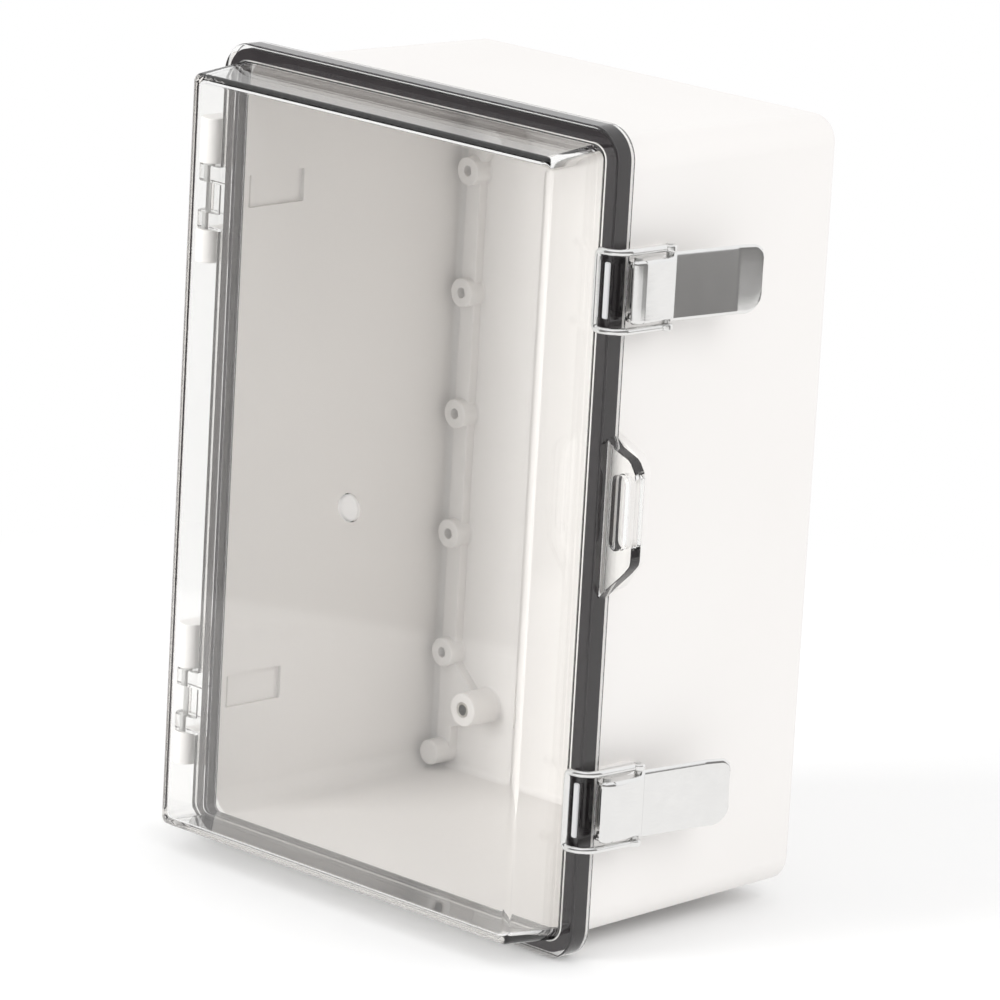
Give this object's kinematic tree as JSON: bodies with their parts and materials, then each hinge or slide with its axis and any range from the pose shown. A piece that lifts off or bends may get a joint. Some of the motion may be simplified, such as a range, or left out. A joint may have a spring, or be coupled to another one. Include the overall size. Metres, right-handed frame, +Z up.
{
  "type": "hinged enclosure",
  "caption": "Wall-mounting hinged enclosure with a clear domed cover, a gasket, side draw latches and a padlock eye.",
  "frame": {"origin": "middle of the four wall-fixing holes, on the back face", "axes": "+Z up the wall, -Y out of the wall through the clear cover, +X towards the latches"},
  "size_m": [0.2275, 0.145, 0.3],
  "materials": {
    "base_plastic": "moulded opaque polycarbonate, satin",
    "clear_plastic": "clear moulded polycarbonate",
    "gasket_foam": "dark foamed seal",
    "insert_metal": "nickel-plated turned metal",
    "pin_steel": "drawn stainless wire",
    "latch_steel": "polished stainless sheet"
  },
  "bodies": {
    "base": {"base_shell": "base_plastic", "plate_insert_top_left": "insert_metal", "plate_insert_top_right": "insert_metal", "plate_insert_bottom_left": "insert_metal", "plate_insert_bottom_right": "insert_metal", "hinge_pin_upper": "pin_steel", "hinge_pin_lower": "pin_steel", "latch_bracket_upper": "latch_steel", "latch_rivets_upper": "pin_steel", "lever_pin_upper": "pin_steel", "latch_bracket_lower": "latch_steel", "latch_rivets_lower": "pin_steel", "lever_pin_lower": "pin_steel"},
    "cover": {"cover": "clear_plastic", "gasket": "gasket_foam"},
    "lever_upper": {"latch_lever_upper": "latch_steel", "claw_pin_upper": "pin_steel"},
    "claw_upper": {"latch_claw_upper": "latch_steel"},
    "lever_lower": {"latch_lever_lower": "latch_steel", "claw_pin_lower": "pin_steel"},
    "claw_lower": {"latch_claw_lower": "latch_steel"}
  },
  "joints": [
    {"name": "cover_hinge", "type": "hinge", "parent": "base", "child": "cover", "pos_m": [-0.1085, -0.117, 0], "axis": [0, 0, -1], "range_deg": [0, 180]},
    {"name": "latch_lever_upper", "type": "hinge", "parent": "base", "child": "lever_upper", "pos_m": [0.1048, -0.1126, 0.094], "axis": [0, 0, -1], "range_deg": [0, 110]},
    {"name": "latch_claw_upper", "type": "hinge", "parent": "lever_upper", "child": "claw_upper", "pos_m": [0.1058, -0.0982, 0.094], "axis": [0, 0, -1], "range_deg": [-165, 0]},
    {"name": "latch_lever_lower", "type": "hinge", "parent": "base", "child": "lever_lower", "pos_m": [0.1048, -0.1126, -0.093], "axis": [0, 0, -1], "range_deg": [0, 110]},
    {"name": "latch_claw_lower", "type": "hinge", "parent": "lever_lower", "child": "claw_lower", "pos_m": [0.1058, -0.0982, -0.093], "axis": [0, 0, -1], "range_deg": [-165, 0]}
  ],
  "couplings": [
    {"joint": "latch_claw_upper", "follows": "latch_lever_upper", "ratio": -1.5},
    {"joint": "latch_claw_lower", "follows": "latch_lever_lower", "ratio": -1.5}
  ]
}
